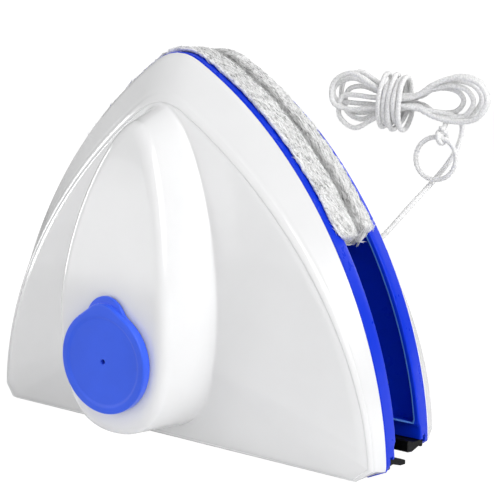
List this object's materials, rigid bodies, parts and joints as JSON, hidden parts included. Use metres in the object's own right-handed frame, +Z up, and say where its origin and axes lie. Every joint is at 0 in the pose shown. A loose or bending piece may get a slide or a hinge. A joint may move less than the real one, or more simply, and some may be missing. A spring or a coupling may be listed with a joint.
{
  "type": "magnetic glass cleaner",
  "caption": "Double-sided magnetic glass cleaner: arched halves with microfibre pads, squeegee blades, filler caps and a safety cord.",
  "frame": {"origin": "middle of the glass plane, at the level of the flat lower edges that the cleaner stands on", "axes": "+X along the straight lower edge, +Y from the inner half to the outer half through the glass, +Z up to the rounded point"},
  "size_m": [0.1776, 0.1213, 0.1445],
  "materials": {
    "white_shell": "glossy white ABS moulding",
    "blue_tray": "satin royal blue ABS moulding",
    "blue_cap": "matt blue silicone",
    "microfibre": "white looped microfibre with grey flecks",
    "hook_tape": "hook half of a hook-and-loop tape",
    "black_rubber": "smooth black rubber",
    "grey_silicone": "translucent grey silicone",
    "tank_plastic": "natural polypropylene",
    "felt": "compressed felt",
    "nickel": "nickel plate",
    "zinc_steel": "zinc plated steel",
    "cord": "white braided polyester cord",
    "ring": "white flexible plastic"
  },
  "bodies": {
    "inner_half": {"inner_shell": "white_shell", "inner_tray": "blue_tray", "inner_pad": "microfibre", "inner_pad_hook_sheet": "hook_tape", "inner_tank_floor": "tank_plastic", "inner_tank_gasket": "grey_silicone", "inner_wick_left": "felt", "inner_wick_right": "felt", "inner_magnet_left": "nickel", "inner_magnet_right": "nickel", "inner_magnet_yoke": "zinc_steel", "inner_screw_top": "zinc_steel", "inner_screw_upper_left": "zinc_steel", "inner_screw_upper_right": "zinc_steel", "inner_screw_lower_left": "zinc_steel", "inner_screw_lower_right": "zinc_steel"},
    "outer_half": {"outer_shell": "white_shell", "outer_tray": "blue_tray", "outer_pad": "microfibre", "outer_pad_hook_sheet": "hook_tape", "outer_tank_floor": "tank_plastic", "outer_tank_gasket": "grey_silicone", "outer_wick_left": "felt", "outer_wick_right": "felt", "outer_magnet_left": "nickel", "outer_magnet_right": "nickel", "outer_magnet_yoke": "zinc_steel", "outer_screw_top": "zinc_steel", "outer_screw_upper_left": "zinc_steel", "outer_screw_upper_right": "zinc_steel", "outer_screw_lower_left": "zinc_steel", "outer_screw_lower_right": "zinc_steel", "cord_lug": "white_shell"},
    "inner_cap": {"inner_filler_cap": "blue_cap", "inner_filler_cap_seal": "grey_silicone"},
    "inner_blade": {"inner_squeegee_blade": "black_rubber"},
    "outer_cap": {"outer_filler_cap": "blue_cap", "outer_filler_cap_seal": "grey_silicone"},
    "outer_blade": {"outer_squeegee_blade": "black_rubber"},
    "cord": {"safety_cord": "cord"},
    "ring": {"finger_ring": "ring"}
  },
  "joints": [
    {"name": "halves_apart", "type": "slide", "parent": "inner_half", "child": "outer_half", "axis": [0, 1, 0], "range_m": [0, 0.03]},
    {"name": "inner_cap_pull", "type": "slide", "parent": "inner_half", "child": "inner_cap", "axis": [0, -1, 0], "range_m": [0, 0.02]},
    {"name": "outer_cap_pull", "type": "slide", "parent": "outer_half", "child": "outer_cap", "axis": [0, 1, 0], "range_m": [0, 0.02]},
    {"name": "inner_blade_slide", "type": "slide", "parent": "inner_half", "child": "inner_blade", "axis": [1, 0, 0], "range_m": [0, 0.18]},
    {"name": "outer_blade_slide", "type": "slide", "parent": "outer_half", "child": "outer_blade", "axis": [1, 0, 0], "range_m": [0, 0.18]},
    {"name": "cord_swing", "type": "hinge", "parent": "outer_half", "child": "cord", "pos_m": [0.052, 0.0356, 0.071], "axis": [1, 0, 0], "range_deg": [-75, 12]},
    {"name": "ring_swing", "type": "hinge", "parent": "cord", "child": "ring", "pos_m": [0.0742, 0.052, 0.1119], "axis": [1, 0, 0], "range_deg": [-30, 0]}
  ]
}
